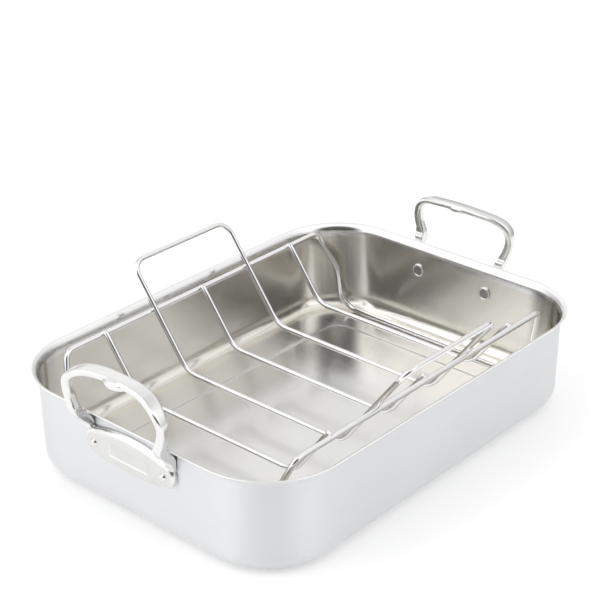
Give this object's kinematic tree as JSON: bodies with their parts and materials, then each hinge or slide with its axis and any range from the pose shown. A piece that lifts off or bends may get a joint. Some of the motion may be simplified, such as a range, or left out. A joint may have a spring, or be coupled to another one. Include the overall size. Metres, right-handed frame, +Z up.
{
  "type": "roasting pan with rack",
  "caption": "Rectangular sheet-metal roasting pan with rounded corners, a flared rim, riveted upright loop handles on its ends and a loose V-shaped wire rack with lifting bails.",
  "frame": {"origin": "centre of the resting face, on the surface that the pan stands on", "axes": "+X along the pan, from the left handle to the right handle; +Y across it; +Z up"},
  "size_m": [0.4512, 0.308, 0.1366],
  "materials": {
    "pan_steel": "satin outside, semi-polished inside",
    "cast_steel": "fine satin casting",
    "rivet_steel": "polished heads",
    "rack_wire": "polished wire"
  },
  "bodies": {
    "pan": {"pan_body": "pan_steel", "handle_left": "cast_steel", "handle_right": "cast_steel", "rivet_left_a": "rivet_steel", "rivet_left_b": "rivet_steel", "rivet_right_a": "rivet_steel", "rivet_right_b": "rivet_steel"},
    "rack": {"rack_frame": "rack_wire", "rack_lifting_loop": "rack_wire", "cross_wire_a": "rack_wire", "cross_wire_b": "rack_wire", "cross_wire_c": "rack_wire"}
  },
  "joints": [
    {"name": "rack_lift", "type": "slide", "parent": "pan", "child": "rack", "axis": [0, 0, 1], "range_m": [0, 0.2]}
  ]
}
